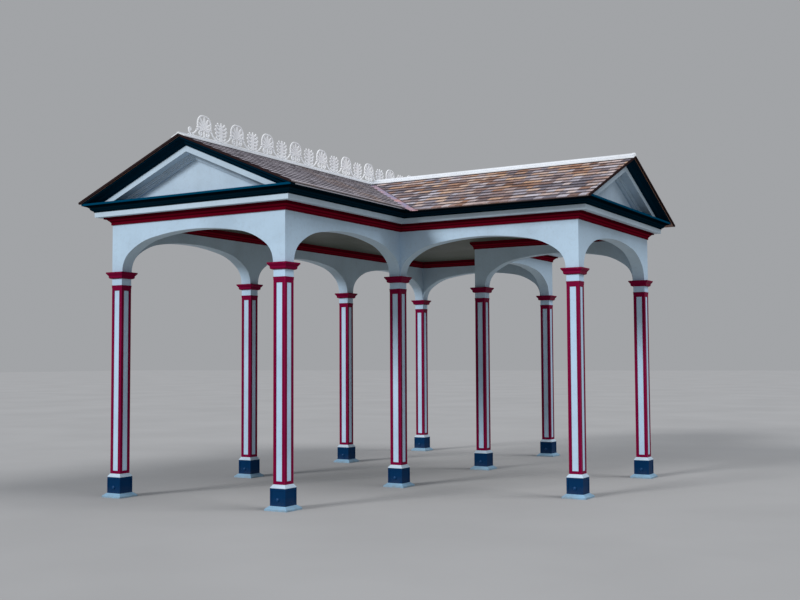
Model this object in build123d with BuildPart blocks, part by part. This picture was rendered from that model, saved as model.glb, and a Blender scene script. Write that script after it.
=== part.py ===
"""Open park pavilion on a T plan: ten square posts, arched wall panels, three gables,
a shingled roof with two valleys and a cast cresting along the main ridge.
Millimetres, +Z up, ground at z = 0. The origin is the middle of the plan's bounding box.
The main wing runs along Y, the side wing along +X."""
from build123d import *
from math import cos, hypot, pi, radians, sin
import os

os.makedirs("parts", exist_ok=True)

# Plan
bay_x = 2650            # post spacing along X
bay_y = 2700            # post spacing along Y
post_w = 172            # post shaft, neck and wall thickness
wall = post_w / 2       # from a post's centre line to the wall face

# Heights of the post's parts
slab_top = 55
plinth_top = 262
plinth_cap_top = 305
shaft_top = 2765
neck_top = 2851
capital_top = 2937      # also the springing of the arches

# Post sections
slab_w = 322
slab_edge = 20          # height of the slab's upright edge, below its sloping top
plinth_w = 225
panel_w, panel_depth = 86, 8
panel_bottom, panel_top = 342, 2695
capital_half = 144

# Arches (a fuller curve than an ellipse)
arch_inset = 8
arch_rise = 490
arch_power = 2.3

# Entablature, measured out from the post centre lines
bed_bottom = 3562
bed_top = 3660
fascia_top = 3724
cornice_top = 3831
fascia_out = 250
cornice_out = 370
ceiling_z = 3677
ceiling_t = 20

# Roof
pitch = 0.425
roof_t = 30             # measured straight up
roof_out = 400
peak = cornice_top + (bay_x / 2 + cornice_out) * pitch      # underside at both ridges
wing_pitch = (peak - cornice_top) / (bay_y / 2 + cornice_out)
rake_cornice_h = 98
rake_board_h = 74
cap_half = 106
cap_t = 14
cap_bar_half = 20
cap_bar_h = 18

# Cresting on the main ridge
crest_pitch = 660
crest_t = 14
crest_count = 13

far = 6000              # past every edge, for cuts

# Post lines
west, centre, east = -bay_x, 0, bay_x
south2, south1, north1, north2 = -1.5 * bay_y, -0.5 * bay_y, 0.5 * bay_y, 1.5 * bay_y
ridge_x = -bay_x / 2
half_length = north2 + roof_out

posts = {
    "post_front_left": (west, south2),
    "post_front_right": (centre, south2),
    "post_mid_front_left": (west, south1),
    "post_mid_front_right": (centre, south1),
    "post_mid_rear_left": (west, north1),
    "post_mid_rear_right": (centre, north1),
    "post_rear_left": (west, north2),
    "post_rear_right": (centre, north2),
    "post_wing_front": (east, south1),
    "post_wing_rear": (east, north1),
}
spots = list(posts.values())


def save(builder, name):
    builder.part.label = name
    export_step(builder.part, f"parts/{name}.step")


def outline(h):
    """The T plan's outline, h outside the post centre lines."""
    return [
        (west - h, south2 - h), (centre + h, south2 - h), (centre + h, south1 - h),
        (east + h, south1 - h), (east + h, north1 + h), (centre + h, north1 + h),
        (centre + h, north2 + h), (west - h, north2 + h),
    ]


def flare(profile, section, mode=Mode.ADD):
    """Straight-sided layers between neighbouring (half, z) pairs; section(half) gives the corners."""
    for (h0, z0), (h1, z1) in zip(profile, profile[1:]):
        if z0 == z1:
            continue
        with BuildSketch(Plane.XY.offset(z0)) as low:
            Polygon(*section(h0), align=None)
        with BuildSketch(Plane.XY.offset(z1)) as high:
            Polygon(*section(h1), align=None)
        if h0 == h1:
            extrude(low.sketch, amount=z1 - z0, dir=(0, 0, 1), mode=mode)
        else:
            loft([low.sketch.face(), high.sketch.face()], ruled=True, mode=mode)


def square(h):
    return [(-h, -h), (h, -h), (h, h), (-h, h)]


def four_sides(out, size, z):
    """Where a face's recess goes on each side of a square section, as (place, box size)."""
    depth, width, height = size
    mid = out - depth / 2
    return [((dx * mid, dy * mid, z), (depth if dx else width, depth if dy else width, height))
            for dx, dy in ((1, 0), (-1, 0), (0, 1), (0, -1))]


def at_each_post(unit, name):
    with BuildPart() as row:
        with Locations(*[(x, y, 0) for x, y in spots]):
            add(unit.part)
    save(row, name)


# Post stacks: each part is drawn once and repeated at the ten posts
with BuildPart() as slab:
    flare([(slab_w / 2, 0), (slab_w / 2, slab_edge), (plinth_w / 2 + 4, slab_top)], square)
at_each_post(slab, "footing_slabs")

with BuildPart() as plinth:
    with Locations((0, 0, (slab_top + plinth_top) / 2)):
        Box(plinth_w, plinth_w, plinth_top - slab_top)
    for place, size in four_sides(plinth_w / 2, (5, plinth_w - 50, plinth_top - slab_top - 60),
                                  (slab_top + plinth_top) / 2):
        with Locations(place):
            Box(*size, mode=Mode.SUBTRACT)
at_each_post(plinth, "plinths")

with BuildPart() as plinth_cap:
    flare([(plinth_w / 2, plinth_top), (plinth_w / 2, plinth_top + 7), (wall, plinth_cap_top)], square)
at_each_post(plinth_cap, "plinth_caps")

with BuildPart() as shaft:
    flare([(wall, plinth_cap_top), (wall, shaft_top - 40), (wall + 2, shaft_top - 36), (wall + 2, shaft_top - 14)],
          square)
    flare([(wall + 4, shaft_top - 14), (wall + 4, shaft_top)], square)
    for place, size in four_sides(wall, (panel_depth, panel_w, panel_top - panel_bottom),
                                  (panel_bottom + panel_top) / 2):
        with Locations(place):
            Box(*size, mode=Mode.SUBTRACT)
for name, (x, y) in posts.items():
    with BuildPart() as post:
        with Locations((x, y, 0)):
            add(shaft.part)
    save(post, name)

with BuildPart() as neck:
    flare([(wall, shaft_top), (wall, neck_top)], square)
at_each_post(neck, "post_necks")

with BuildPart() as capital:
    ovolo = [(8, 0), (22, 5), (30, 12), (33, 24), (33, 38), (42, 48), (54, 66)]
    flare([(wall + h, neck_top + v) for h, v in ovolo], square)
    flare([(capital_half, neck_top + 66), (capital_half, capital_top)], square)
at_each_post(capital, "capitals")

with BuildPart() as upper_block:
    flare([(wall, capital_top), (wall, cornice_top)], square)
at_each_post(upper_block, "upper_post_blocks")


# Arched wall panels
def arch_opening(span):
    """Opening with a five-arc head, its springing at the sketch's own origin line."""
    half, k = span / 2 - arch_inset, 2 / arch_power

    def at(t, side=1):
        return side * half * cos(t) ** k, arch_rise * sin(t) ** k

    knee, haunch = 0.47, 0.98
    with BuildLine() as edge:
        ThreePointArc((half, 0), at(knee * 0.45), at(knee))
        ThreePointArc(at(knee), at((knee + haunch) / 2), at(haunch))
        ThreePointArc(at(haunch), (0, arch_rise), at(haunch, -1))
        ThreePointArc(at(haunch, -1), at((knee + haunch) / 2, -1), at(knee, -1))
        ThreePointArc(at(knee, -1), at(knee * 0.45, -1), (-half, 0))
        Line((-half, 0), (half, 0))
    make_face(edge.edges(), mode=Mode.SUBTRACT)


def arch_panel(name, x, y, along_y, bay, roof=None):
    """One bay's panel between the post faces; under a slope its top follows the roof."""
    span = bay - post_w
    top = cornice_top if roof is None else peak
    face = Plane(origin=(x, y, capital_top), x_dir=(0, 1, 0) if along_y else (1, 0, 0),
                 z_dir=(1, 0, 0) if along_y else (0, -1, 0))
    with BuildPart() as panel:
        with BuildSketch(face):
            with Locations((0, (top - capital_top) / 2)):
                Rectangle(span, top - capital_top)
            arch_opening(span)
        extrude(amount=wall, both=True)
        if roof == "main":
            with BuildSketch(Plane.XZ):
                Polygon((ridge_x - far, 0), (ridge_x + far, 0), (ridge_x + far, peak - far * pitch),
                        (ridge_x, peak), (ridge_x - far, peak - far * pitch), align=None)
            extrude(amount=far, both=True, mode=Mode.INTERSECT)
        if roof == "wing":
            with BuildSketch(Plane.YZ):
                Polygon((-far, 0), (far, 0), (far, peak - far * wing_pitch), (0, peak),
                        (-far, peak - far * wing_pitch), align=None)
            extrude(amount=far, both=True, mode=Mode.INTERSECT)
    save(panel, name)


arch_panel("arch_front_gable", ridge_x, south2, False, bay_x)
arch_panel("arch_rear_gable", ridge_x, north2, False, bay_x)
arch_panel("arch_wing_gable", east, 0, True, bay_y)
arch_panel("arch_left_front", west, -bay_y, True, bay_y, "main")
arch_panel("arch_left_middle", west, 0, True, bay_y, "main")
arch_panel("arch_left_rear", west, bay_y, True, bay_y, "main")
arch_panel("arch_right_front", centre, -bay_y, True, bay_y, "main")
arch_panel("arch_right_rear", centre, bay_y, True, bay_y, "main")
arch_panel("arch_wing_front", bay_x / 2, south1, False, bay_x, "wing")
arch_panel("arch_wing_rear", bay_x / 2, north1, False, bay_x, "wing")

# Entablature rings
with BuildPart() as bed:
    flare([(wall + 14, bed_bottom), (wall + 14, bed_bottom + 26), (wall + 24, bed_bottom + 42),
           (wall + 52, bed_bottom + 68), (wall + 66, bed_bottom + 76)], outline)
    flare([(wall + 84, bed_bottom + 76), (wall + 84, bed_top)], outline)
    flare([(wall, bed_bottom), (wall, bed_top)], outline, Mode.SUBTRACT)
save(bed, "bed_moulding")

with BuildPart() as fascia:
    flare([(fascia_out, bed_top), (fascia_out, fascia_top)], outline)
    flare([(wall, bed_top), (wall, fascia_top)], outline, Mode.SUBTRACT)
save(fascia, "fascia_board")

crown = [(fascia_out + 8, 0), (fascia_out + 8, 10), (fascia_out + 32, 24), (fascia_out + 42, 34),
         (fascia_out + 50, 56), (cornice_out - 48, 68), (cornice_out - 20, 76), (cornice_out - 20, 81),
         (cornice_out, 81), (cornice_out, cornice_top - fascia_top)]
with BuildPart() as cornice:
    flare([(h, fascia_top + v) for h, v in crown], outline)
    flare([(wall, fascia_top), (wall, cornice_top)], outline, Mode.SUBTRACT)
save(cornice, "eaves_cornice")

# Ceiling and its moulding
with BuildPart() as ceiling:
    flare([(-wall, ceiling_z), (-wall, ceiling_z + ceiling_t)], outline)
save(ceiling, "ceiling")

with BuildPart() as ceiling_moulding:
    flare([(-wall, bed_bottom), (-wall, ceiling_z)], outline)
    flare([(-wall - 14, bed_bottom), (-wall - 14, bed_bottom + 24), (-wall - 26, bed_bottom + 50),
           (-wall - 50, bed_bottom + 76), (-wall - 60, bed_bottom + 90), (-wall - 60, ceiling_z)],
          outline, Mode.SUBTRACT)
save(ceiling_moulding, "ceiling_moulding")


# Gables
def band(half, m, lo, hi):
    """The band of a gable between lo and hi, both measured up from the roof's underside."""
    low = peak - m * half
    return [(-half, low + lo), (0, peak + lo), (half, low + lo), (half, low + hi), (0, peak + hi), (-half, low + hi)]


def raking(face, half, m, n0, n1, lo0, lo1=None):
    """A band from offset n0 to n1 in front of the wall centre line, up to the roof's underside."""
    lo1 = lo0 if lo1 is None else lo1
    with BuildSketch(face.offset(n0)) as back:
        Polygon(*band(half, m, lo0, 0), align=None)
    with BuildSketch(face.offset(n1)) as front:
        Polygon(*band(half, m, lo1, 0), align=None)
    if lo1 == lo0:
        extrude(back.sketch, amount=n1 - n0, dir=face.z_dir)
    else:
        loft([back.sketch.face(), front.sketch.face()], ruled=True)


def above_cornice(face, half):
    """Keeps what stands on the cornice, within half of the gable's middle."""
    with BuildSketch(face) as keep:
        with Locations((0, cornice_top + far / 2)):
            Rectangle(2 * half, far)
    extrude(keep.sketch, amount=far, dir=face.z_dir, both=True, mode=Mode.INTERSECT)


gables = {
    "front": (Plane(origin=(ridge_x, south2, 0), x_dir=(1, 0, 0), z_dir=(0, -1, 0)), bay_x / 2, pitch),
    "rear": (Plane(origin=(ridge_x, north2, 0), x_dir=(-1, 0, 0), z_dir=(0, 1, 0)), bay_x / 2, pitch),
    "wing": (Plane(origin=(east, 0, 0), x_dir=(0, 1, 0), z_dir=(1, 0, 0)), bay_y / 2, wing_pitch),
}
rake_foot = rake_cornice_h + rake_board_h
gable_face = 60         # the flat panel of a gable, out from the post centre line
for name, (face, half, m) in gables.items():
    with BuildPart() as pediment:
        with BuildSketch(face):
            Polygon((-half - wall, cornice_top), (half + wall, cornice_top), (half + wall, peak - m * (half + wall)),
                    (0, peak), (-half - wall, peak - m * (half + wall)), align=None)
        extrude(amount=gable_face)
        for n1, lo in ((fascia_out, 0), (wall + 44, 20), (wall + 34, 38), (wall + 14, 56), (wall + 4, 72)):
            with BuildSketch(face.offset(gable_face)):
                Polygon(*band(half + far, m, -rake_foot - lo, -rake_cornice_h), align=None)
            extrude(amount=n1 - gable_face)
        above_cornice(face, half + fascia_out)
    save(pediment, f"pediment_{name}")

    with BuildPart() as rake:
        raking(face, half + far, m, gable_face, crown[0][0], -rake_cornice_h)
        k = rake_cornice_h / (cornice_top - fascia_top)
        steps = [(h, (v * k) - rake_cornice_h) for h, v in crown[1:]]
        for (n0, lo0), (n1, lo1) in zip(steps, steps[1:]):
            if n0 < n1:
                raking(face, half + far, m, n0, n1, lo0, lo1)
        above_cornice(face, half + cornice_out)
    save(rake, f"raking_cornice_{name}")


# Roof slopes
def slope(plan_points, along_y, m, lo, hi):
    """A slab of roof over a plan shape, from lo to hi above the roof's underside."""
    with BuildSketch() as area:
        for points in plan_points:
            Polygon(*points, align=None)
    extrude(area.sketch, amount=far, dir=(0, 0, 1))
    mid = ridge_x if along_y else 0
    across = Plane.XZ if along_y else Plane.YZ
    with BuildSketch(across) as section:
        Polygon((mid - far, peak + lo - far * m), (mid, peak + lo), (mid + far, peak + lo - far * m),
                (mid + far, peak + hi - far * m), (mid, peak + hi), (mid - far, peak + hi - far * m), align=None)
    extrude(section.sketch, amount=far, dir=across.z_dir, both=True, mode=Mode.INTERSECT)


edge_x = centre + roof_out
edge_y = bay_y / 2 + roof_out
left_edge = west - roof_out
right_edge = east + roof_out
turn = pitch / wing_pitch           # |y| of the valley over its distance from the main ridge
valley_at_edge = (edge_x - ridge_x) * turn
valley_x = ridge_x + edge_y / turn
join_x = ridge_x + cap_bar_half     # the wing's roof and ridge cap start at the main ridge bar
join_y = cap_bar_half * turn

with BuildPart() as roof_left:
    slope([[(left_edge, -half_length), (ridge_x, -half_length), (ridge_x, half_length), (left_edge, half_length)]],
          True, pitch, 0, roof_t)
save(roof_left, "roof_left")

with BuildPart() as roof_right:
    gap = 3
    slope([[(ridge_x, s * half_length), (edge_x, s * half_length), (edge_x, s * valley_at_edge),
            (ridge_x + gap / turn, s * gap), (ridge_x, s * gap)][::-s] for s in (-1, 1)], True, pitch, 0, roof_t)
save(roof_right, "roof_right")

for s, name in ((-1, "roof_wing_front"), (1, "roof_wing_rear")):
    with BuildPart() as roof_wing:
        slope([[(join_x, 0), (join_x, s * join_y), (valley_x, s * edge_y), (right_edge, s * edge_y),
                (right_edge, 0)][::-s]],
              False, wing_pitch, 0, roof_t)
    save(roof_wing, name)

# Ridge caps
with BuildPart() as cap_main:
    slope([[(ridge_x - cap_half, -half_length), (ridge_x + cap_half, -half_length),
            (ridge_x + cap_half, half_length), (ridge_x - cap_half, half_length)]],
          True, pitch, roof_t, roof_t + cap_t)
    with BuildSketch(Plane.XZ):
        with Locations((ridge_x, peak + roof_t)):
            Polygon((-cap_bar_half, -cap_bar_half * pitch), (0, 0), (cap_bar_half, -cap_bar_half * pitch),
                    (cap_bar_half, cap_bar_h), (-cap_bar_half, cap_bar_h), align=None)
    extrude(amount=half_length, both=True)
    with BuildSketch(Plane.YZ.offset(ridge_x)):
        Polygon((-far, peak + roof_t - far * wing_pitch), (0, peak + roof_t),
                (far, peak + roof_t - far * wing_pitch), align=None)
    extrude(amount=far, mode=Mode.SUBTRACT)
save(cap_main, "ridge_cap_main")

with BuildPart() as cap_wing:
    slope([[(join_x, -join_y), (ridge_x + cap_half / turn, -cap_half), (right_edge, -cap_half),
            (right_edge, cap_half), (ridge_x + cap_half / turn, cap_half), (join_x, join_y)]],
          False, wing_pitch, roof_t, roof_t + cap_t)
    with BuildSketch(Plane.YZ.offset(join_x)):
        with Locations((0, peak + roof_t)):
            Polygon((-cap_bar_half, -cap_bar_half * wing_pitch), (0, 0), (cap_bar_half, -cap_bar_half * wing_pitch),
                    (cap_bar_half, cap_bar_h), (-cap_bar_half, cap_bar_h), align=None)
    extrude(amount=right_edge - join_x)
    add(cap_main.part, mode=Mode.SUBTRACT)
save(cap_wing, "ridge_cap_wing")

# Valley flashings: a strip on each side of both valleys
flash_w = 150           # along X or Y, from the valley to the strip's edge
flash_t = 4
start = cap_half + 4
with BuildPart() as flashing:
    for s in (-1, 1):
        x0 = ridge_x + start
        with BuildPart() as strip_main:
            slope([[(x0, s * start * turn), (edge_x, s * valley_at_edge), (edge_x, s * (valley_at_edge + flash_w)),
                    (x0, s * (start * turn + flash_w))][::s]], True, pitch, roof_t, roof_t + flash_t)
        with BuildPart() as strip_wing:
            slope([[(x0, s * start * turn), (valley_x, s * edge_y), (valley_x + flash_w, s * edge_y),
                    (x0 + flash_w, s * start * turn)][::-s]], False, wing_pitch, roof_t, roof_t + flash_t)
        add(strip_main.part)
        add(strip_wing.part)
save(flashing, "valley_flashings")


# Cresting
def oval(cx, cz, rx, rz, n=10, mode=Mode.ADD):
    Polygon(*[(cx + rx * cos(2 * pi * (i + 0.5) / n), cz + rz * sin(2 * pi * (i + 0.5) / n)) for i in range(n)],
            align=None, mode=mode)


def bar(x0, z0, x1, z1, w, mode=Mode.ADD):
    """A straight bar between two points."""
    d = hypot(x1 - x0, z1 - z0)
    nx, nz = -(z1 - z0) / d * w / 2, (x1 - x0) / d * w / 2
    Polygon((x0 + nx, z0 + nz), (x0 - nx, z0 - nz), (x1 - nx, z1 - nz), (x1 + nx, z1 + nz),
            align=None, mode=mode)


crest_z = peak + roof_t + cap_bar_h
talls = [(i - (crest_count - 1) / 2) * crest_pitch for i in range(crest_count)]
smalls = [y + crest_pitch / 2 for y in talls[:-1]]
dome = [(104, 104), (129, 150), (126, 218), (88, 274)]
spike = [(26, 10), (42, 60), (44, 150), (20, 240)]
with BuildPart() as cresting:
    with BuildSketch(Plane.YZ.offset(ridge_x - crest_t / 2)):
        with Locations(*[(y, crest_z) for y in talls]):
            Polygon(*dome, (0, 297), *[(-a, b) for a, b in dome[::-1]], align=None)
            for angle in (27, 63, 117, 153):
                bar(84 * cos(radians(angle)), 118 + 66 * sin(radians(angle)),
                    128 * cos(radians(angle)), 118 + 126 * sin(radians(angle)), 12, Mode.SUBTRACT)
            bar(0, 11, 0, 112, 46)
            for dx in (-1, 1):
                oval(dx * 66, 52, 46, 46, 8)
                oval(dx * 70, 52, 22, 22, 6, Mode.SUBTRACT)
                bar(dx * 118, 146, dx * 262, 14, 18)
        with Locations(*[(y, crest_z) for y in smalls]):
            Polygon(*spike, (0, 263), *[(-a, b) for a, b in spike[::-1]], align=None)
            for reach, z in ((96, 62), (112, 112), (112, 160), (98, 206), (70, 242)):
                for dx in (-1, 1):
                    bar(dx * 12, z - 24, dx * reach, z, 22)
        with Locations((0, crest_z + 7)):
            Rectangle(talls[-1] * 2 + 620, 14)
        for s in (-1, 1):
            with Locations((s * (talls[-1] + 290), crest_z + 50)):
                oval(0, 0, 40, 46, 8)
                oval(0, 0, 16, 20, 5, Mode.SUBTRACT)
    extrude(amount=crest_t)
save(cresting, "ridge_cresting")
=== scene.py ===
"""Looks of the open park pavilion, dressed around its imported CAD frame.
Metres, +Z up. The main wing runs along Y with its front gable at -Y, the side wing runs along +X."""
import math
import random

import bpy
import bmesh
from mathutils import Matrix, Vector


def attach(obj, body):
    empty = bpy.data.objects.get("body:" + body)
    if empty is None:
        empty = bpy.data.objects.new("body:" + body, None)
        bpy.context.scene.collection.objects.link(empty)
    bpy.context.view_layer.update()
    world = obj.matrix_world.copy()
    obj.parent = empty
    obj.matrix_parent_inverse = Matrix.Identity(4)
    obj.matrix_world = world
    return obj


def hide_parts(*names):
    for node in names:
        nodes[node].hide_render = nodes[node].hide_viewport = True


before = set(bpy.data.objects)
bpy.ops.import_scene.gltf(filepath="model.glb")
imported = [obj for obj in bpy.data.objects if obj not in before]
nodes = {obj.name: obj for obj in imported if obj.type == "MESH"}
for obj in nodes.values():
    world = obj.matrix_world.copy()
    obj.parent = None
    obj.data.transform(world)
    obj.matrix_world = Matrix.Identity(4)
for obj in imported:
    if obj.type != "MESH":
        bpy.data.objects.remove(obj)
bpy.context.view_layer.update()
scene = bpy.context.scene

# Sizes of the frame that the dressing follows, as in the part's source
BAY_X, BAY_Y = 2.65, 2.70
WEST, CENTRE, EAST = -BAY_X, 0.0, BAY_X
SOUTH2, SOUTH1, NORTH1, NORTH2 = -1.5 * BAY_Y, -0.5 * BAY_Y, 0.5 * BAY_Y, 1.5 * BAY_Y
RIDGE_X = -BAY_X / 2
WALL = 0.086                        # from a post's centre line to the wall's face
ROOF_OUT = 0.400
BED_BOTTOM = 3.562
CORNICE_TOP = 3.831
CORNICE_OUT = 0.370
PITCH = 0.425
PEAK = CORNICE_TOP + (BAY_X / 2 + CORNICE_OUT) * PITCH
WING_PITCH = (PEAK - CORNICE_TOP) / (BAY_Y / 2 + CORNICE_OUT)
TURN = PITCH / WING_PITCH           # a valley's run along Y for each metre along X
ROOF_T = 0.030
POSTS = [(WEST, SOUTH2), (CENTRE, SOUTH2), (WEST, SOUTH1), (CENTRE, SOUTH1), (WEST, NORTH1),
         (CENTRE, NORTH1), (WEST, NORTH2), (CENTRE, NORTH2), (EAST, SOUTH1), (EAST, NORTH1)]


# Materials
def srgb(r, g, b):
    """A colour written in 0 to 255, as the linear one that the shaders take."""
    def linear(c):
        return ((c / 255 + 0.055) / 1.055) ** 2.4 if c > 10 else c / 255 / 12.92
    return linear(r), linear(g), linear(b), 1.0


def scaled(colour, k):
    """A linear colour k times as bright."""
    return tuple(min(1.0, c * k) for c in colour[:3]) + (1.0,)


class Shader:
    """A node tree with a Principled shader, built by short calls."""

    def __init__(self, name, roughness=0.5, **sockets):
        self.mat = bpy.data.materials.new(name)
        self.mat.use_nodes = True
        self.tree = self.mat.node_tree
        self.bsdf = self.tree.nodes["Principled BSDF"]
        self.bsdf.inputs["Roughness"].default_value = roughness
        for key, value in sockets.items():
            self.bsdf.inputs[key.replace("_", " ")].default_value = value
        self.coord = self.node("ShaderNodeTexCoord").outputs["Object"]

    def node(self, kind, **settings):
        n = self.tree.nodes.new(kind)
        for key, value in settings.items():
            setattr(n, key, value)
        return n

    def link(self, a, b):
        self.tree.links.new(a, b)

    def stretched(self, scale, source=None):
        m = self.node("ShaderNodeMapping")
        m.inputs["Scale"].default_value = scale
        self.link(source or self.coord, m.inputs["Vector"])
        return m.outputs["Vector"]

    def noise(self, scale, detail=4.0, rough=0.5, source=None):
        n = self.node("ShaderNodeTexNoise")
        n.inputs["Scale"].default_value = scale
        n.inputs["Detail"].default_value = detail
        n.inputs["Roughness"].default_value = rough
        self.link(source or self.coord, n.inputs["Vector"])
        return n.outputs["Fac"]

    def ramp(self, factor, stops):
        r = self.node("ShaderNodeValToRGB")
        ramp = r.color_ramp
        while len(ramp.elements) < len(stops):
            ramp.elements.new(0.5)
        for element, (position, colour) in zip(ramp.elements, stops):
            element.position = position
            element.color = colour
        self.link(factor, r.inputs["Fac"])
        return r.outputs["Color"]

    def fade(self, factor, lo, hi, to_lo=0.0, to_hi=1.0):
        m = self.node("ShaderNodeMapRange")
        for key, value in (("From Min", lo), ("From Max", hi), ("To Min", to_lo), ("To Max", to_hi)):
            m.inputs[key].default_value = value
        self.link(factor, m.inputs["Value"])
        return m.outputs["Result"]

    def maths(self, operation, a, b):
        m = self.node("ShaderNodeMath", operation=operation)
        for socket, value in zip(m.inputs, (a, b)):
            if isinstance(value, (int, float)):
                socket.default_value = value
            else:
                self.link(value, socket)
        return m.outputs["Value"]

    def mix(self, factor, a, b, blend="MIX"):
        m = self.node("ShaderNodeMix", data_type="RGBA", blend_type=blend)
        for socket, value in ((m.inputs["Factor"], factor), (m.inputs[6], a), (m.inputs[7], b)):
            if isinstance(value, (int, float, tuple)):
                socket.default_value = value
            else:
                self.link(value, socket)
        return m.outputs[2]

    def place(self, axis="Z"):
        s = self.node("ShaderNodeSeparateXYZ")
        self.link(self.coord, s.inputs["Vector"])
        return s.outputs[axis]

    def attribute(self, name):
        return self.node("ShaderNodeAttribute", attribute_name=name).outputs

    def bump(self, height, distance, strength=1.0, below=None):
        b = self.node("ShaderNodeBump")
        b.inputs["Distance"].default_value = distance
        b.inputs["Strength"].default_value = strength
        self.link(height, b.inputs["Height"])
        if below:
            self.link(below, b.inputs["Normal"])
        self.link(b.outputs["Normal"], self.bsdf.inputs["Normal"])
        return b.outputs["Normal"]

    def colour(self, output):
        self.link(output, self.bsdf.inputs["Base Color"])

    def rough(self, factor, lo, hi):
        self.link(self.fade(factor, 0.3, 0.7, lo, hi), self.bsdf.inputs["Roughness"])


MUD = srgb(128, 116, 98)


def paint(name, rgb, grain=(70, 70, 5), rough=(0.42, 0.60), dirt=(96, 92, 80), dirt_amount=0.16,
          grain_depth=0.0005, splash=None, shine=0.35, lit_lip=None, shade_bands=None, arris_highlight=None):
    """House paint over planed boards: brush grain, faint weathering and dirt.
    splash is (low, high, amount) of the mud near the ground.
    shade_bands lists (height, brightness) up a moulding: painted shade in its quirks and painted highlights on
    the arrises between them.
    lit_lip is the lighter colour of the cornice's top lip on the gables' sides, a painted highlight.
    arris_highlight is the lighter colour painted along the corners of the posts, a painted highlight."""
    s = Shader(name, Specular_IOR_Level=shine)
    base = srgb(*rgb)
    fibres = s.noise(1.0, 5, 0.55, s.stretched(grain))
    cloud = s.noise(1.3, 5, 0.6)
    dark, light = scaled(base, 0.86), scaled(base, 1.07)
    tone = s.ramp(cloud, [(0.30, dark), (0.52, base), (0.72, light)])
    # Painted shade and highlight: darker and lighter bands by height up the moulding's profile.
    if shade_bands:
        low, high = shade_bands[0][0], shade_bands[-1][0]
        stops = [((z - low) / (high - low), (b, b, b, 1.0)) for z, b in shade_bands]
        bands = s.ramp(s.fade(s.place(), low, high), stops)
        tone = s.mix(1.0, tone, bands, "MULTIPLY")
        tone = s.mix(s.fade(bands, 0.55, 1.0, 0.0, 0.35), tone, light)
    # Painted highlight along the posts' corners, broken up by noise.
    if arris_highlight:
        from_centre = []
        for axis, shift, bay in (("X", 1.5 * BAY_X, BAY_X), ("Y", 2 * BAY_Y, BAY_Y)):
            along = s.maths("FLOORED_MODULO", s.maths("ADD", s.place(axis), shift), bay)
            from_centre.append(s.maths("ABSOLUTE", s.maths("SUBTRACT", along, bay / 2), 0.0))
        corner = s.fade(s.maths("MINIMUM", *from_centre), WALL - 0.006, WALL - 0.003)
        highlight_breakup = s.fade(s.noise(3, 4, 0.6), 0.35, 0.65, 0.1, 0.6)
        tone = s.mix(s.maths("MULTIPLY", corner, highlight_breakup), tone, srgb(*arris_highlight))
    # Painted highlight on the cornice's top lip at the gable ends.
    if lit_lip:
        x, y, z = s.place("X"), s.maths("ABSOLUTE", s.place("Y"), 0.0), s.place("Z")
        end_y, end_x = NORTH2 + CORNICE_OUT, EAST + CORNICE_OUT
        ends = s.maths("MAXIMUM", s.fade(y, end_y - 0.012, end_y - 0.006),
                       s.fade(x, end_x - 0.012, end_x - 0.006))
        lip = s.maths("MULTIPLY", ends, s.fade(z, CORNICE_TOP - 0.028, CORNICE_TOP - 0.022))
        tone = s.mix(lip, tone, srgb(*lit_lip))
    streak = s.fade(fibres, 0.35, 0.70, 0.0, 0.16)
    tone = s.mix(streak, tone, dark)
    specks = s.fade(s.noise(26, 7, 0.7), 0.52, 0.78, 0.0, dirt_amount)
    tone = s.mix(specks, tone, srgb(*dirt))
    if splash:
        low, high, amount = splash
        near = s.fade(s.place(), low, high, amount, 0.0)
        spots = s.fade(s.noise(9, 6, 0.7), 0.3, 0.65)
        tone = s.mix(s.maths("MULTIPLY", near, spots), tone, MUD)
    s.colour(tone)
    s.rough(cloud, *rough)
    fine = s.bump(fibres, grain_depth)
    s.bump(s.noise(5, 3, 0.5), 0.0012, 0.6, fine)
    return s.mat


# Grain is the noise scale along X, Y and Z: low along the boards. The trim's boards lie flat.
FLAT = (4, 4, 90)
CRIMSON = {"rough": (0.36, 0.50), "dirt": (70, 8, 34), "dirt_amount": 0.22, "shine": 0.04}
NAVY = {"rough": (0.34, 0.48), "dirt": (10, 38, 50), "shine": 0.0}
# Painted shade and highlight up the profiles of the mouldings, as brightness by millimetres above the bed or
# below the cornice's top
BED_SHADING = ((0, 0.60), (18, 0.55), (24, 0.95), (32, 0.95), (38, 0.34), (46, 0.34), (52, 0.75), (64, 0.80),
             (70, 0.25), (78, 0.25), (90, 0.34), (98, 0.50))
CORNICE_SHADING = ((107, 0.7), (99, 0.25), (90, 0.9), (78, 1.0), (73, 0.2), (66, 1.0), (53, 1.0), (44, 0.35),
                 (30, 0.2), (25, 0.8), (0, 0.9))

# The white paints are tinted pale blue: painted shade, the sky's blue on white paint in shade.
wall_paint = paint("wall_paint", (182, 208, 231), shine=0.2)
trim_paint = paint("trim_paint", (190, 212, 231), grain=FLAT, shine=0.2)
gable_paint = paint("gable_paint", (188, 210, 230), grain=(24, 24, 24), grain_depth=0.0002, shine=0.2)
stripe_paint = paint("stripe_paint", (182, 211, 238), dirt_amount=0.12, shine=0.2)
crimson_paint = paint("crimson_paint", (118, 2, 52), **CRIMSON)
# Painted highlight along the posts' corners.
crimson_posts = paint("crimson_posts", (120, 2, 54), arris_highlight=(168, 44, 96), **CRIMSON)
# The crimson trim carries painted shade and highlight up its profile.
crimson_trim = paint("crimson_trim", (128, 11, 40), grain=FLAT, rough=(0.36, 0.50), dirt=(62, 6, 24), shine=0.0,
                     shade_bands=[(BED_BOTTOM + k / 1000, b) for k, b in BED_SHADING])
navy_plinth = paint("navy_plinth", (2, 47, 88), rough=(0.38, 0.52), dirt=(16, 56, 84), dirt_amount=0.14,
                    splash=(0.05, 0.16, 0.10), shine=0.04)
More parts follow.
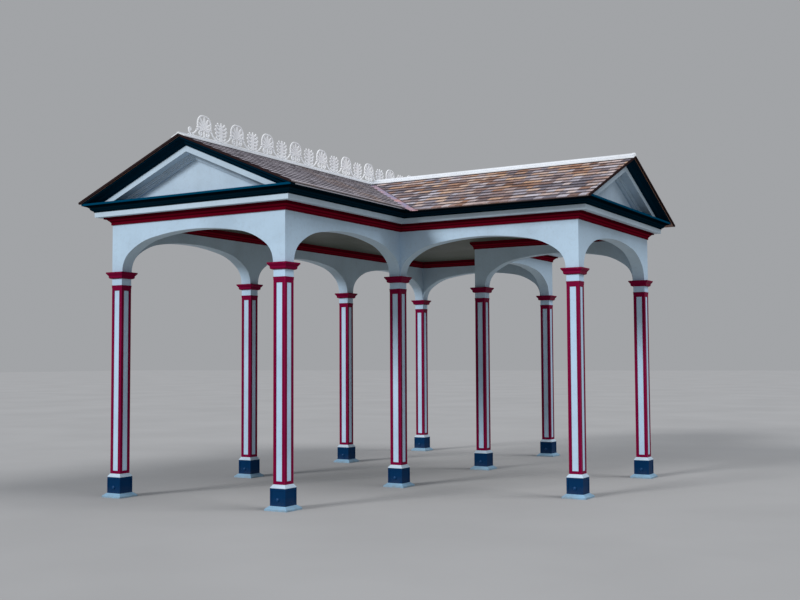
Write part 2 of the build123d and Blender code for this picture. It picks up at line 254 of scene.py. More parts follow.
# The boss's navy is lighter than the plinth's: a painted highlight on its dome.
navy_boss = paint("navy_boss", (2, 60, 108), rough=(0.26, 0.38), dirt=(16, 56, 84), dirt_amount=0.1, shine=0.22)
# The cornice's navy carries a painted highlight on its top lip at the gable ends, and painted shade and
# highlight up its profile.
navy_cornice = paint("navy_cornice", (2, 34, 50), grain=FLAT, lit_lip=(0, 66, 98),
                     shade_bands=[(CORNICE_TOP - k / 1000, b) for k, b in CORNICE_SHADING], **NAVY)
navy_rake = paint("navy_rake", (2, 34, 52), **NAVY)
footing_paint = paint("footing_paint", (134, 178, 210), grain=(30, 30, 30), rough=(0.55, 0.75),
                      grain_depth=0.001, splash=(0.0, 0.07, 0.6))
# The ceiling's grey-green is darkened: painted shade under the roof.
ceiling_paint = paint("ceiling_paint", (80, 87, 78), grain=(4, 90, 4), rough=(0.5, 0.65))
ridge_white = paint("ridge_white", (224, 229, 236), grain=(12, 12, 12), rough=(0.36, 0.50), grain_depth=0.0003)
cresting_white = paint("cresting_white", (247, 250, 254), grain=(60, 60, 60), rough=(0.40, 0.55),
                       dirt=(186, 186, 188), dirt_amount=0.12, grain_depth=0.0006)


def cedar():
    """Weathered cedar. Each shingle has its own tint, from dark to light, and warmth, from grey to brown.
    Grain runs up the slope. Its butt, where the attribute is above 0, and the top of its face, where it falls
    below 0 towards -1, are painted dark: painted shade on the butt and a painted shadow under the next course's
    butt."""
    s = Shader("cedar_shingles", 0.8)
    tint = s.attribute("tint")["Fac"]
    warm = s.attribute("warm")["Fac"]
    uv = s.node("ShaderNodeUVMap", uv_map="board").outputs["UV"]
    grain = s.noise(1.0, 6, 0.6, s.stretched((190, 9, 1), uv))
    patch = s.noise(1.0, 4, 0.6, s.stretched((14, 5, 1), uv))
    broad = s.noise(0.55, 3, 0.5)
    grey = s.ramp(tint, [(0.0, srgb(108, 103, 116)), (0.45, srgb(156, 150, 164)), (1.0, srgb(222, 216, 228))])
    brown = s.ramp(tint, [(0.0, srgb(130, 90, 70)), (0.45, srgb(184, 134, 104)), (1.0, srgb(234, 192, 156))])
    heat = s.maths("ADD", s.fade(warm, 0.0, 1.0, 0.12, 0.80), s.fade(patch, 0.2, 0.8, -0.25, 0.25))
    heat = s.maths("ADD", heat, s.fade(broad, 0.36, 0.64, -0.28, 0.26))
    tone = s.mix(s.fade(heat, 0.25, 0.90), grey, brown)
    tone = s.mix(s.fade(grain, 0.42, 0.62, 0.45, 0.0), tone, srgb(56, 46, 48))
    butt = s.attribute("butt")["Fac"]
    # Painted shadow at the top of each face under the next course's butt, then painted shade on the butts.
    tone = s.mix(s.fade(butt, -0.46, -0.78, 0.0, 0.82), tone, srgb(40, 33, 42))
    tone = s.mix(s.fade(butt, 0.0, 1.0, 0.0, 0.92), tone, srgb(34, 26, 32))
    s.colour(tone)
    s.rough(grain, 0.9, 0.72)
    s.bump(grain, 0.0022)
    return s.mat


def sheet_metal(name, rgb, metallic):
    """Dull sheet metal with water marks."""
    s = Shader(name, 0.5, Metallic=metallic, Specular_IOR_Level=0.2)
    base = srgb(*rgb)
    cloud = s.noise(7, 6, 0.65)
    tone = s.ramp(cloud, [(0.3, scaled(base, 0.62)), (0.55, base), (0.8, srgb(222, 196, 190))])
    lavender = s.fade(s.noise(2.6, 4, 0.6), 0.44, 0.60)
    s.colour(s.mix(lavender, tone, srgb(150, 146, 176)))
    s.rough(cloud, 0.36, 0.58)
    s.bump(s.noise(14, 3, 0.5), 0.002, 0.5)
    return s.mat


cedar_shingles = cedar()
# The rake strips' near-black brown is painted shade on the ends of the courses.
rake_shade_brown = paint("rake_shade_brown", (46, 34, 36), grain=(60, 60, 60), rough=(0.6, 0.8), dirt=(92, 70, 58),
                   dirt_amount=0.3, shine=0.0)
drip_grey = paint("drip_grey", (150, 150, 160), grain=(12, 12, 12), rough=(0.4, 0.6))
valley_metal = sheet_metal("valley_metal", (196, 152, 156), 0.2)

MATERIALS = {
    "footing_slabs": footing_paint, "plinths": navy_plinth, "plinth_caps": trim_paint,
    "post_necks": stripe_paint, "capitals": crimson_paint, "upper_post_blocks": wall_paint,
    "bed_moulding": crimson_trim, "fascia_board": trim_paint, "eaves_cornice": navy_cornice,
    "ceiling": ceiling_paint, "ceiling_moulding": crimson_trim, "ridge_cap_main": ridge_white,
    "ridge_cap_wing": ridge_white, "valley_flashings": valley_metal, "ridge_cresting": cresting_white,
}
for name, obj in nodes.items():
    if name in MATERIALS:
        material = MATERIALS[name]
    elif name.startswith("post_"):
        material = crimson_posts
    elif name.startswith("arch_"):
        material = wall_paint
    elif name.startswith("pediment_"):
        material = gable_paint
    elif name.startswith("raking_"):
        material = navy_rake
    else:
        material = cedar_shingles
    if not obj.material_slots:
        obj.data.materials.append(material)
    for slot in obj.material_slots:
        slot.material = material


def soften(names, width):
    """Rounds the sharp edges of frame nodes with a modifier; their meshes stay as they are."""
    for name in names:
        m = nodes[name].modifiers.new("edges", "BEVEL")
        m.width = width
        m.segments = 2
        m.limit_method = "ANGLE"
        m.angle_limit = math.radians(28)


soften(["footing_slabs"], 0.005)
soften(["plinths", "plinth_caps", "post_necks", "capitals", "upper_post_blocks"], 0.002)
soften([n for n in nodes if n.startswith("post_") and n != "post_necks"], 0.0018)
soften(["bed_moulding", "fascia_board", "eaves_cornice", "ceiling_moulding"], 0.002)
soften([n for n in nodes if n.startswith(("pediment_", "raking_"))], 0.002)
soften(["ridge_cap_main", "ridge_cap_wing"], 0.0025)


# Mesh helpers
def piece(name, bm, material, replaces=(), smooth=None):
    """Turns a bmesh into a piece that rides on the building."""
    mesh = bpy.data.meshes.new(name)
    bmesh.ops.recalc_face_normals(bm, faces=bm.faces)
    if smooth is not None:
        for f in bm.faces:
            f.smooth = True
        for e in bm.edges:
            if len(e.link_faces) == 2 and e.calc_face_angle(0) > smooth:
                e.smooth = False
    bm.to_mesh(mesh)
    bm.free()
    mesh.materials.append(material)
    obj = bpy.data.objects.new(name, mesh)
    scene.collection.objects.link(obj)
    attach(obj, "root")
    if replaces:
        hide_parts(*replaces)
    return obj


def loft(bm, rings):
    """Skins a row of rings with the same number of points, and closes both ends."""
    n = len(rings[0])
    for r0, r1 in zip(rings, rings[1:]):
        for i in range(n):
            bm.faces.new((r0[i], r0[(i + 1) % n], r1[(i + 1) % n], r1[i]))
    bm.faces.new(rings[0])
    bm.faces.new(rings[-1][::-1])


def prism(bm, section, place, length):
    """Extrudes a closed section of (a, b) points; place(a, b, t) gives the point at t = 0 or length."""
    loft(bm, [[bm.verts.new(place(a, b, t)) for a, b in section] for t in (0.0, length)])


# White boards in the posts' sunk panels, with eased front edges
PANEL_W, PANEL_LOW, PANEL_HIGH = 0.086, 0.342, 2.695
PANEL_GAP, PANEL_EASE = 0.0006, 0.0025
PANEL_BACK, PANEL_EDGE, PANEL_FACE = WALL - 0.0078, WALL - 0.0055, WALL - 0.0035


def panel_outline(half, low, high):
    """Corners of a board, across and up."""
    return [(-half, low), (half, low), (half, high), (-half, high)]


bm = bmesh.new()
half = PANEL_W / 2 - PANEL_GAP
back = panel_outline(half, PANEL_LOW + PANEL_GAP, PANEL_HIGH - PANEL_GAP)
front = panel_outline(half - PANEL_EASE, PANEL_LOW + PANEL_EASE, PANEL_HIGH - PANEL_EASE)
for px, py in POSTS:
    for quarter in range(4):
        turn = Matrix.Translation((px, py, 0)) @ Matrix.Rotation(quarter * math.pi / 2, 4, "Z")
        loft(bm, [[bm.verts.new(turn @ Vector((d, a, z))) for a, z in ring]
                  for d, ring in ((PANEL_BACK, back), (PANEL_EDGE, back), (PANEL_FACE, front))])
piece("post_panels", bm, stripe_paint)

# A small domed boss low on each plinth's face towards the front
PLINTH_FACE, BOSS_Z, BOSS_R, BOSS_SIDES = 0.1075, 0.130, 0.024, 16
BOSS_DOME = ((-0.0004, 1.0), (0.005, 1.0), (0.011, 0.84), (0.0155, 0.52), (0.017, 0.18))   # (out, share of R)
angles = [2 * math.pi * i / BOSS_SIDES for i in range(BOSS_SIDES)]
bm = bmesh.new()
for px, py in POSTS:
    rings = []
    for out, k in BOSS_DOME:
        rings.append([bm.verts.new((px + BOSS_R * k * math.cos(a), py - PLINTH_FACE - out,
                                    BOSS_Z + BOSS_R * k * math.sin(a))) for a in angles])
    loft(bm, rings)
piece("plinth_bosses", bm, navy_boss, smooth=math.radians(50))

# Ceiling boards, which run along X with a V groove between them
CEILING, BOARD_T, GROOVE, BOARD_GAP = 3.677, 0.018, 0.004, 0.0008
END_BAY_BOARDS, MIDDLE_BOARDS = 30, 28
inner = WALL + 0.001                # clear of the panels' inner faces
bm = bmesh.new()


def ceiling_boards(y0, y1, x0, x1, count):
    """Lays count boards side by side over one rectangle."""
    step = (y1 - y0) / count
    for i in range(count):
        a, b = y0 + i * step + BOARD_GAP / 2, y0 + (i + 1) * step - BOARD_GAP / 2
        section = [(a + GROOVE, CEILING), (b - GROOVE, CEILING), (b, CEILING + GROOVE), (b, CEILING + BOARD_T),
                   (a, CEILING + BOARD_T), (a, CEILING + GROOVE)]
        prism(bm, section, lambda p, q, t: Vector((x0 + t, p, q)), x1 - x0)


ceiling_boards(SOUTH2 + inner, SOUTH1 + inner, WEST + inner, CENTRE - inner, END_BAY_BOARDS)
ceiling_boards(SOUTH1 + inner, NORTH1 - inner, WEST + inner, EAST - inner, MIDDLE_BOARDS)
ceiling_boards(NORTH1 - inner, NORTH2 - inner, WEST + inner, CENTRE - inner, END_BAY_BOARDS)
piece("ceiling_boards", bm, ceiling_paint, ["ceiling"])


# Shingled slopes
EXPOSURE, LAP = 0.1605, 0.04        # what shows of a shingle, and what the next course covers
BUTT, TIP = 0.0108, 0.002           # a shingle's thickness at its foot and at its top
DECK, TOP = 0.0115, 0.0268          # deck and butt heights over the roof's underside, square to the slope
WIDTHS = (0.09, 0.11, 0.13, 0.15, 0.18, 0.21)
NARROWEST, SCRAP = 0.02, 0.0003     # narrower, shorter or smaller shingles (square metres) aren't laid
FIRST_COURSE, DECK_EDGE = 0.0125, 0.016     # up the slope from the roof's edge
UNDER_COURSE = 0.13                 # length of the doubled first course's lower shingles
SEAM = 0.0005
EAVE_DARK = 0.2                     # how much painted shade the butts at the eave get; the others get 0.7 to 1
WING_HANG = 0.105                   # how far the wing's courses hang past its roof slab, as in the photo
RUN_MAIN, RUN_WING = BAY_X / 2 + ROOF_OUT, BAY_Y / 2 + ROOF_OUT + WING_HANG
K_MAIN, K_WING = math.cos(math.atan(PITCH)), math.cos(math.atan(WING_PITCH))
HALF_Y = NORTH2 + ROOF_OUT
rng = random.Random(7)


def clip(poly, a, b, c):
    """Keeps the part of a flat polygon where a*u + b*s <= c."""
    out = []
    for i, p in enumerate(poly):
        q = poly[(i + 1) % len(poly)]
        dp, dq = a * p[0] + b * p[1] - c, a * q[0] + b * q[1] - c
        if dp <= 0:
            out.append(p)
        if dp * dq < 0:
            k = dp / (dp - dq)
            out.append((p[0] + k * (q[0] - p[0]), p[1] + k * (q[1] - p[1])))
    return out


def area(poly):
    """Area of a flat polygon."""
    return abs(sum(p[0] * q[1] - q[0] * p[1] for p, q in zip(poly, poly[1:] + poly[:1]))) / 2


class Slope:
    """A roof slope: u runs along the eave, s up the slope from the roof's edge, h square to it."""

    def __init__(self, corner, along, pitch, run):
        plan = Vector((-along[1], along[0], 0))
        self.corner = Vector(corner)
        self.u, self.s = Vector(along), (plan + Vector((0, 0, pitch))).normalized()
        self.n = self.u.cross(self.s).normalized()
        self.length = run / math.cos(math.atan(pitch))

    def at(self, u, s, h):
        """A point of the slope, in metres in the frame."""
        return self.corner + self.u * u + self.s * s + self.n * h


def shingled(name, slope, u0, u1, regions, node, sky_sheen=0.0):
    """Deck and shingles of a slope from u0 to u1. Each region is (deck cuts, shingle cuts), half planes for
    clip. sky_sheen, from 0 to 1, makes that side's shingles lighter and greyer: painted sheen and cool skylight
    of a side in shade."""
    bm = bmesh.new()
    uv = bm.loops.layers.uv.new("board")
    tint, warm = bm.verts.layers.float.new("tint"), bm.verts.layers.float.new("warm")
    butt = bm.loops.layers.float.new("butt")

    def slab(poly, low, high, value, heat, shift, dark=1.0, foot=None):
        """A board over poly from height low(s) to high(s). foot is where a shingle's face starts."""
        if len(poly) < 3 or area(poly) < SCRAP:
            return
        bottom = [bm.verts.new(slope.at(u, s, low(s))) for u, s in poly]
        top = [bm.verts.new(slope.at(u, s, high(s))) for u, s in poly]
        n = len(poly)
        place = {v: p for v, p in zip(bottom + top, poly + poly)}
        for v in place:
            v[tint], v[warm] = value, heat
        faces = [bm.faces.new(bottom[::-1]), bm.faces.new(top)]
        faces += [bm.faces.new((bottom[i], bottom[(i + 1) % n], top[(i + 1) % n], top[i])) for i in range(n)]
        for k, f in enumerate(faces):
            for loop in f.loops:
                u, s = place[loop.vert]
                loop[uv].uv = (u + shift, s + shift * 1.7)
                # butt carries the painted shade: side faces get dark; top and bottom faces fall from 0 at the
                # foot to -1 at the top end, under the next course.
                face = 0.0 if foot is None else (foot - s) / reach
                loop[butt] = dark if k > 1 else face

    length = slope.length
    for deck_cuts, _ in regions:
        a, b, top = u0 + 0.004, u1 - 0.004, length - 0.001
        deck = [(a, DECK_EDGE), (b, DECK_EDGE), (b, top), (a, top)]
        for cut in deck_cuts:
            deck = clip(deck, *cut)
        slab(deck, lambda s: 0.0004, lambda s: DECK, 0.25, 0.8, 0.0)

    fall, reach = BUTT / EXPOSURE, EXPOSURE + LAP
    for c in range(-1, math.ceil(length / EXPOSURE)):       # course -1 lies under course 0
        s0 = max(0, c) * EXPOSURE + (0.001 if c > 0 else FIRST_COURSE)
        u = u0 + SEAM - rng.uniform(0, 0.1)
        while u < u1:
            width = rng.choice(WIDTHS) * rng.uniform(0.9, 1.1)
            gap, extra, slip = rng.uniform(0.002, 0.006), rng.uniform(-0.002, 0.0006), rng.uniform(0, 0.006)
            # Painted sky sheen: a side in shade gets lighter, greyer shingles.
            value, heat, shift = rng.random(), rng.random() * (1 - sky_sheen), rng.uniform(0, 9)
            value += (1 - value) * sky_sheen
            a, b = max(u, u0 + SEAM), min(u + width, u1 - SEAM)
            u += width + gap
            if b - a < NARROWEST:
                continue
            foot = s0 + (slip if c > 0 else 0)
            top_end = min(s0 + (UNDER_COURSE if c < 0 else reach), length - 0.004)
            if top_end - foot < NARROWEST:
                continue
            poly = [(a, foot), (b, foot), (b, top_end), (a, top_end)]

            def upper(s, more=0.0):
                return TOP + more - fall * (s - s0)

            def lower(s):
                return upper(s) - TIP - (BUTT - TIP) * (1 - (s - s0) / reach)

            for _, cuts in regions:
                part = poly
                for cut in cuts:
                    part = clip(part, *cut)
                if c < 0:
                    slab(part, lambda s: DECK + 0.0002, lambda s: lower(s) - 0.0002, value, heat, shift,
                         EAVE_DARK)
                else:
                    dark = rng.uniform(0.7, 1.0) if c else EAVE_DARK
                    slab(part, lower, lambda s: upper(s, extra), value, heat, shift, dark, s0)
    return piece(name, bm, cedar_shingles, [node])


edge_z = PEAK - RUN_MAIN * PITCH
edge_wing_z = PEAK - RUN_WING * WING_PITCH
left = Slope((WEST - ROOF_OUT, HALF_Y, edge_z), (0, -1, 0), PITCH, RUN_MAIN)
right = Slope((CENTRE + ROOF_OUT, -HALF_Y, edge_z), (0, 1, 0), PITCH, RUN_MAIN)
wing_front = Slope((RIDGE_X, -RUN_WING, edge_wing_z), (1, 0, 0), WING_PITCH, RUN_WING)
wing_rear = Slope((EAST + ROOF_OUT, RUN_WING, edge_wing_z), (-1, 0, 0), WING_PITCH, RUN_WING)
WING_U = EAST + ROOF_OUT - RIDGE_X
RAKE_T = 0.016
OPEN = 0.085                        # bare valley metal on each side, measured along X or Y


# Half planes that keep a slope's boards at least d short of a valley
def main_front(d):
    return (1, -K_MAIN * TURN, HALF_Y - RUN_MAIN * TURN - d)


def main_rear(d):
    return (-1, -K_MAIN * TURN, -(HALF_Y + RUN_MAIN * TURN + d))


def front_wing(d):
    return (-1, -K_WING / TURN, -RUN_WING / TURN - d)


def rear_wing(d):
    return (1, -K_WING / TURN, WING_U - RUN_WING / TURN - d)


# The last number is each side's painted sky sheen.
shingled("shingles_left", left, RAKE_T, 2 * HALF_Y - RAKE_T, [([], [])], "roof_left", 0.5)
shingled("shingles_right", right, RAKE_T, 2 * HALF_Y - RAKE_T,
         [([main_front(0.003)], [main_front(OPEN)]), ([main_rear(0.003)], [main_rear(OPEN)])],
         "roof_right", 0.62)
shingled("shingles_wing_front", wing_front, 0, WING_U - RAKE_T, [([front_wing(0.001)], [front_wing(OPEN)])],
         "roof_wing_front")
shingled("shingles_wing_rear", wing_rear, RAKE_T, WING_U, [([rear_wing(0.001)], [rear_wing(OPEN)])],
         "roof_wing_rear", 0.2)

# Rake strips, which close the ends of the shingle courses
RAKE_LOW, RAKE_HIGH = 0.0006, 0.0275        # square to the slope
bm = bmesh.new()
for slope, ends in ((left, (0, 2 * HALF_Y)), (right, (0, 2 * HALF_Y)), (wing_front, (WING_U,)),
                    (wing_rear, (0,))):
    section = [(RAKE_LOW, 0.013), (RAKE_HIGH - 0.0013, 0.013), (RAKE_HIGH, 0.0145),
               (RAKE_HIGH, slope.length - 0.013), (RAKE_LOW, slope.length - 0.001)]
    for end in ends:
        u = 0.0003 if end == 0 else end - RAKE_T + 0.0004
        prism(bm, section, lambda h, s, t: slope.at(u + t, s, h), RAKE_T - 0.0007)
piece("rake_strips", bm, rake_shade_brown)

# Valley metal: two leaves of sheet that meet in a standing crimp, with a splayed foot over the eaves
FLASH_W, FLASH_T, CRIMP, CRIMP_W = 0.150, 0.0016, 0.012, 0.016
lift = (DECK + 0.0006) / K_MAIN
foot = RUN_WING / TURN              # where the valley meets the wing's eave, along X from the ridge
# (along X from the ridge, width on the main slope, width on the wing's slope, drop)
VALLEY_ROWS = ((0.118, FLASH_W, FLASH_W, 0), (RUN_MAIN, FLASH_W, FLASH_W, 0), (foot - 0.012, 0.036, 0.12, 0),
               (foot + 0.010, 0.020, 0.105, 0.006))


def main_z(x):
    """Height of the metal on the main slope; wing_z gives it on the wing's."""
    return PEAK - abs(x - RIDGE_X) * PITCH + lift


def wing_z(y):
    return PEAK - abs(y) * WING_PITCH + lift


def border(rows):
    """The points around a grid, in order."""
    return rows[0] + [r[-1] for r in rows[1:]] + rows[-1][-2::-1] + [r[0] for r in rows[-2:0:-1]]


bm = bmesh.new()
for side in (-1, 1):
    rows = []
    for d, wide, wing_wide, drop in VALLEY_ROWS:
        x, y = RIDGE_X + d, d * TURN
        row = [(x, y + wide, main_z(x)), (x, y + CRIMP_W, main_z(x)), (x, y, wing_z(y) + CRIMP),
               (x + CRIMP_W, y, wing_z(y)), (x + wing_wide, y, wing_z(y))]
        rows.append([(a, side * b, c - drop) for a, b, c in row])
    sheets = [[[bm.verts.new((a, b, c + t)) for a, b, c in row] for row in rows] for t in (FLASH_T, 0)]
    for sheet in sheets:
        for r0, r1 in zip(sheet, sheet[1:]):
            for i in range(len(r0) - 1):
                bm.faces.new((r0[i], r0[i + 1], r1[i + 1], r1[i]))
    upper, lower = [border(sheet) for sheet in sheets]
    for i in range(len(upper)):
        j = (i + 1) % len(upper)
        bm.faces.new((upper[i], upper[j], lower[j], lower[i]))
piece("valley_metal", bm, valley_metal, ["valley_flashings"])

# Drip edges under the main wing's eaves, as (out from the posts' line, up from the roof's underside)
DRIP = ((0.330, 0.0), (0.388, -0.001), (0.3905, -0.012), (0.3925, -0.012), (0.391, 0.0012), (0.330, 0.0022))
end, corner = HALF_Y - 0.10, RUN_MAIN * TURN + 0.06         # short of the rakes and of the valleys
sloping = [(a, b + (ROOF_OUT - a) * PITCH) for a, b in DRIP]
bm = bmesh.new()
for line, way, y0, y1 in ((WEST, -1, -end, end), (CENTRE, 1, -end, -corner), (CENTRE, 1, corner, end)):
    prism(bm, sloping, lambda a, b, t: Vector((line + way * a, y0 + t, edge_z + b)), y1 - y0)
piece("drip_edges", bm, drip_grey)

# Rolled top of the wing's ridge cap, with a rounded end over the gable
ROLL_R, ROLL_SIDES, ROLL_BASE = 0.023, 10, PEAK + ROOF_T + 0.010
ROLL_FROM, ROLL_TO = RIDGE_X + 0.13, EAST + ROOF_OUT - 0.0015
STATIONS = ((ROLL_FROM, 1.0), (ROLL_TO - 0.055, 1.0), (ROLL_TO - 0.050, 1.22), (ROLL_TO - 0.018, 1.22),
            (ROLL_TO - 0.006, 1.0), (ROLL_TO, 0.55))        # (x, share of the radius)
angles = [math.pi * i / ROLL_SIDES for i in range(ROLL_SIDES + 1)]
bm = bmesh.new()
loft(bm, [[bm.verts.new((x, ROLL_R * k * math.cos(a), ROLL_BASE + (ROLL_R * k + 0.006) * math.sin(a)))
           for a in angles] for x, k in STATIONS])
piece("wing_ridge_roll", bm, ridge_white, smooth=math.radians(40))


# Cast cresting: palmettes CREST_PITCH apart, leaf stems between them, and a scroll past each end
CREST_Z = PEAK + ROOF_T + 0.018
CREST_TOP = CREST_Z + 0.297
CREST_PITCH, CREST_COUNT = 0.660, 13
SCROLL_PAST, RAIL_PAST = 0.250, 0.305
# Shares of a bar's half width and thickness, and of a boss's thickness and radius
BAR_SECTION = ((1, 0.0), (0.62, 0.5), (-0.62, 0.5), (-1, 0.0), (-0.62, -0.5), (0.62, -0.5))
BOSS_SECTION = ((-0.5, 0.6), (0.0, 1.0), (0.5, 0.6))
WIDEST = 0.6                        # where along its length a leaf is widest


def bezier(p0, p1, p2, p3, n):
    """Points along a cubic curve, in n steps."""
    out = []
    for i in range(n + 1):
        t = i / n
        w = ((1 - t) ** 3, 3 * t * (1 - t) ** 2, 3 * t * t * (1 - t), t ** 3)
        out.append(tuple(sum(k * p[j] for k, p in zip(w, (p0, p1, p2, p3))) for j in (0, 1)))
    return out


def arc(cx, cz, r0, r1, a0, a1, n):
    """A spiral arc from angle a0 to a1 in degrees, radius r0 to r1."""
    out = []
    for i in range(n + 1):
        r, a = r0 + (r1 - r0) * i / n, math.radians(a0 + (a1 - a0) * i / n)
        out.append((cx + r * math.cos(a), cz + r * math.sin(a)))
    return out


class Casting:
    """Bars and bosses of the cresting, drawn flat in millimetres and repeated along the ridge."""

    def __init__(self):
        self.verts, self.faces = [], []

    def bar(self, path, w0, w1, thick=13, w_mid=None):
        """A bar along a path, w0 wide at its start, w1 at its end and w_mid where a leaf is widest."""
        last, sides = len(path) - 1, len(BAR_SECTION)
        rings = []
        for i, (y, z) in enumerate(path):
            a, b = path[max(0, i - 1)], path[min(last, i + 1)]
            d = Vector((b[0] - a[0], b[1] - a[1])).normalized()
            t = i / last
            if w_mid is None:
                w = w0 + (w1 - w0) * t
            elif t < WIDEST:
                w = w0 + (w_mid - w0) * math.sin(math.pi / 2 * t / WIDEST)
            else:
                w = w_mid + (w1 - w_mid) * (1 - math.cos(math.pi / 2 * (t - WIDEST) / (1 - WIDEST)))
            rings.append(len(self.verts))
            for across, out in BAR_SECTION:
                self.verts.append((out * thick, y - d.y * across * w / 2, z + d.x * across * w / 2))
        for r0, r1 in zip(rings, rings[1:]):
            for k in range(sides):
                self.faces.append((r0 + k, r0 + (k + 1) % sides, r1 + (k + 1) % sides, r1 + k))
        self.faces.append(tuple(rings[0] + k for k in range(sides))[::-1])
        self.faces.append(tuple(rings[-1] + k for k in range(sides)))

    def boss(self, y, z, r, thick=14, n=8):
        """A round boss of n sides, widest at mid thickness."""
        base = len(self.verts)
        for out, k in BOSS_SECTION:
            for i in range(n):
                a = 2 * math.pi * i / n
                self.verts.append((out * thick, y + r * k * math.cos(a), z + r * k * math.sin(a)))
        for level in (0, 1):
            for i in range(n):
                j = (i + 1) % n
                p = base + level * n
                self.faces.append((p + i, p + j, p + n + j, p + n + i))
        self.faces.append(tuple(base + i for i in range(n))[::-1])
        self.faces.append(tuple(base + 2 * n + i for i in range(n)))


def as_drawn(path):
    return path


def mirrored(path):
    return [(-y, z) for y, z in path]


def tall_motif():
    """A palmette of seven lobes in a beaded rim, on a stem between two scrolls."""
    bead_out, middle_z, top_z = 3, 170, 284
    c = Casting()
    half = [(100, 106), (120, 136), (127, 172), (122, 210), (106, 242), (80, 268), (44, 285)]
    rim = half + [(0, 289)] + [(-y, z) for y, z in half[::-1]]
    c.bar(rim, 22, 22, thick=13)
    for (y0, z0), (y1, z1) in zip(rim[1:-1], rim[2:]):
        for k in (0.0, 0.5):
            y, z = y0 + (y1 - y0) * k, z0 + (z1 - z0) * k
            d = math.hypot(y, z - middle_z)
            c.boss(y + y / d * bead_out, min(z + (z - middle_z) / d * bead_out, top_z), 11, 16, 6)
    c.bar([(-104, 108), (0, 104), (104, 108)], 18, 18, thick=14)
    for angle, length, wide in ((90, 166, 50), (62, 158, 42), (118, 158, 42), (36, 138, 36), (144, 138, 36),
                                (12, 116, 30), (168, 116, 30)):
        a = math.radians(angle)
        c.bar([(length * k * math.cos(a), 112 + length * k * math.sin(a))
               for k in (0.06, 0.25, 0.45, 0.65, 0.85, 1.0)], 10, 16, thick=11, w_mid=wide)
    c.bar([(0, 6), (0, 56), (0, 110)], 44, 34, thick=14)
    c.boss(0, 112, 20, 18, 10)
    for flip in (as_drawn, mirrored):
        c.bar(flip(arc(64, 56, 39, 15, 110, -240, 14)), 22, 14)
        c.boss(*flip([(64, 56)])[0], 13, 15, 8)
        c.bar(flip(bezier((96, 112), (132, 108), (150, 74), (178, 52), 5)), 20, 20)
        c.bar(flip(bezier((178, 52), (196, 38), (222, 24), (258, 11), 4)), 20, 20)
        c.boss(*flip([(134, 126)])[0], 15, 15, 8)
        c.bar(flip([(104, 108), (134, 126)]), 12, 12)
        c.boss(*flip([(150, 92)])[0], 12, 14, 8)
    return c


def small_motif():
    """A tapering stem with four pairs of curled leaves and a finial."""
    c = Casting()
    c.bar([(0, 6), (0, 50), (0, 100), (0, 160), (0, 214), (0, 240)], 58, 22, thick=14, w_mid=72)
    c.boss(0, 246, 14, 15, 10)
    for flip in (as_drawn, mirrored):
        for start, c1, c2, end, r in (((10, 206), (30, 208), (58, 212), (66, 238), 15),
                                      ((14, 168), (50, 166), (86, 176), (98, 204), 17),
                                      ((16, 126), (56, 120), (98, 130), (110, 158), 17),
                                      ((14, 86), (50, 76), (88, 84), (100, 110), 16),
                                      ((12, 44), (40, 28), (72, 30), (88, 58), 14)):
            c.bar(flip(bezier(start, c1, c2, end, 5)), 24, 15, w_mid=27)
            c.boss(*flip([end])[0], r, 16, 8)
    return c


def end_scroll():
    """The rail's end, which curls up and back."""
    c = Casting()
    c.bar(bezier((60, 10), (20, 10), (-40, 26), (-46, 70), 6), 15, 14)
    c.bar(arc(-16, 76, 30, 12, 190, -110, 8), 14, 11)
    c.boss(-16, 76, 14, 15, 8)
    return c


bm = bmesh.new()


def set_casting(casting, y, way=1):
    """Stands a casting on the ridge at y; way -1 turns it round."""
    verts = [bm.verts.new((RIDGE_X + a / 1000, y + way * b / 1000, min(CREST_Z + h / 1000, CREST_TOP - 0.0002)))
             for a, b, h in casting.verts]
    for f in casting.faces:
        bm.faces.new([verts[i] for i in f])


talls = [(i - (CREST_COUNT - 1) / 2) * CREST_PITCH for i in range(CREST_COUNT)]
tall, small, tail = tall_motif(), small_motif(), end_scroll()
for y in talls:
    set_casting(tall, y)
for y in talls[:-1]:
    set_casting(small, y + CREST_PITCH / 2)
set_casting(tail, talls[0] - SCROLL_PAST)
set_casting(tail, talls[-1] + SCROLL_PAST, -1)
rail = [(-0.007, 0.0), (0.007, 0.0), (0.007, 0.009), (0.004, 0.013), (-0.004, 0.013), (-0.007, 0.009)]
prism(bm, rail, lambda a, b, t: Vector((RIDGE_X + a, talls[0] - RAIL_PAST + t, CREST_Z + b)),
      talls[-1] - talls[0] + 2 * RAIL_PAST)
piece("ridge_ironwork", bm, cresting_white, ["ridge_cresting"], smooth=math.radians(50))

# Camera, fitted to the posts in the photo. Turn, tilt above level and roll are in degrees.
CAMERA_AT, CAMERA_TURN, CAMERA_TILT, CAMERA_ROLL = (7.694, -14.409, 1.759), 30.405, 3.222, -0.287
cam_data = bpy.data.cameras.new("camera")
cam_data.lens, cam_data.sensor_width = 48.34, 36.0
cam_data.clip_end = 400
camera = bpy.data.objects.new("camera", cam_data)
scene.collection.objects.link(camera)
camera.matrix_world = (Matrix.Translation(CAMERA_AT) @ Matrix.Rotation(math.radians(CAMERA_TURN), 4, "Z")
                       @ Matrix.Rotation(math.radians(90 + CAMERA_TILT), 4, "X")
                       @ Matrix.Rotation(math.radians(CAMERA_ROLL), 4, "Z"))
scene.camera = camera

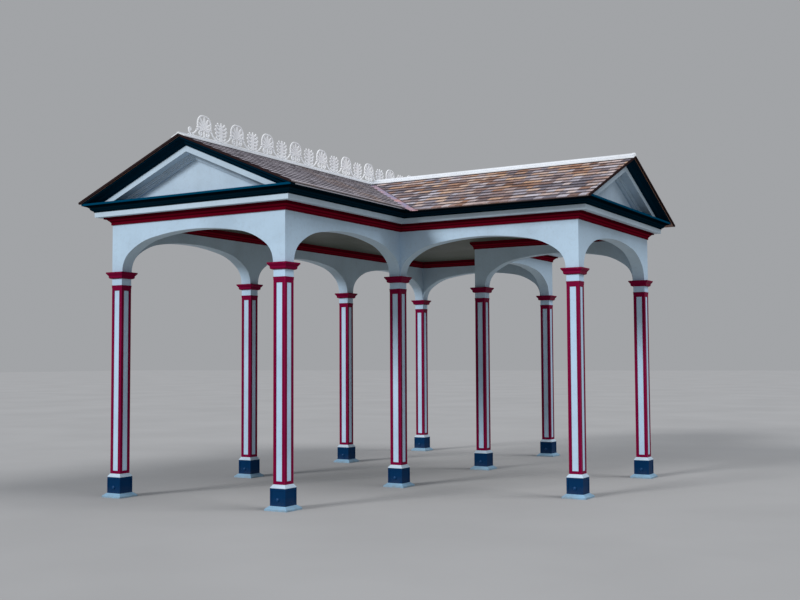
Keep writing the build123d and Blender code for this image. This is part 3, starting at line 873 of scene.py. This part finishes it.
# Floor, which the camera sees a little paler than the light that bounces off it
FLOOR = 150
floor_shader = Shader("floor_plain", 0.9, Specular_IOR_Level=0.0)
floor_pale = floor_shader.ramp(floor_shader.noise(0.35, 3, 0.5),
                               [(0.35, srgb(164, 164, 165)), (0.65, srgb(169, 169, 170))])
floor_rays = floor_shader.node("ShaderNodeLightPath").outputs
floor_seen = floor_shader.maths("MAXIMUM", floor_rays["Is Camera Ray"], floor_rays["Is Glossy Ray"])
floor_shader.colour(floor_shader.mix(floor_seen, srgb(166, 161, 152), floor_pale))
mesh = bpy.data.meshes.new("floor")
mesh.from_pydata([(-FLOOR, -FLOOR, 0), (FLOOR, -FLOOR, 0), (FLOOR, FLOOR, 0), (-FLOOR, FLOOR, 0)], [],
                 [(0, 1, 2, 3)])
mesh.materials.append(floor_shader.mat)
floor = bpy.data.objects.new("floor", mesh)
scene.collection.objects.link(floor)


# Light
def sun(name, energy, colour, direction, angle):
    """A distant soft lamp that shines along a direction. angle, in degrees, softens its shadows."""
    data = bpy.data.lights.new(name, "SUN")
    data.energy, data.color, data.angle = energy, colour, math.radians(angle)
    lamp = bpy.data.objects.new(name, data)
    lamp.rotation_euler = Vector(direction).to_track_quat("-Z", "Y").to_euler()
    scene.collection.objects.link(lamp)


sun("key", 2.05, (1.0, 0.99, 0.975), (0.30, 0.86, -0.46), 16)
sun("fill", 1.3, (1.0, 0.99, 0.98), (-0.58, -0.10, -0.80), 30)

# Sky light, and a grey backdrop that only camera, glossy and transmission rays see
world = bpy.data.worlds.new("world")
scene.world = world
world.use_nodes = True
tree = world.node_tree
tree.nodes.clear()
output = tree.nodes.new("ShaderNodeOutputWorld")
light, backdrop = tree.nodes.new("ShaderNodeBackground"), tree.nodes.new("ShaderNodeBackground")
light.inputs["Color"].default_value = (0.86, 0.92, 1.0, 1)
light.inputs["Strength"].default_value = 0.44
backdrop.inputs["Color"].default_value = (0.36, 0.37, 0.385, 1)
backdrop.inputs["Strength"].default_value = 1.0
path = tree.nodes.new("ShaderNodeLightPath")
seen = path.outputs["Is Camera Ray"]
for ray in ("Is Glossy Ray", "Is Transmission Ray"):
    either = tree.nodes.new("ShaderNodeMath")
    either.operation = "MAXIMUM"
    tree.links.new(seen, either.inputs[0])
    tree.links.new(path.outputs[ray], either.inputs[1])
    seen = either.outputs[0]
mixer = tree.nodes.new("ShaderNodeMixShader")
tree.links.new(seen, mixer.inputs["Fac"])
tree.links.new(light.outputs[0], mixer.inputs[1])
tree.links.new(backdrop.outputs[0], mixer.inputs[2])
tree.links.new(mixer.outputs[0], output.inputs["Surface"])

scene.view_settings.view_transform = "Standard"
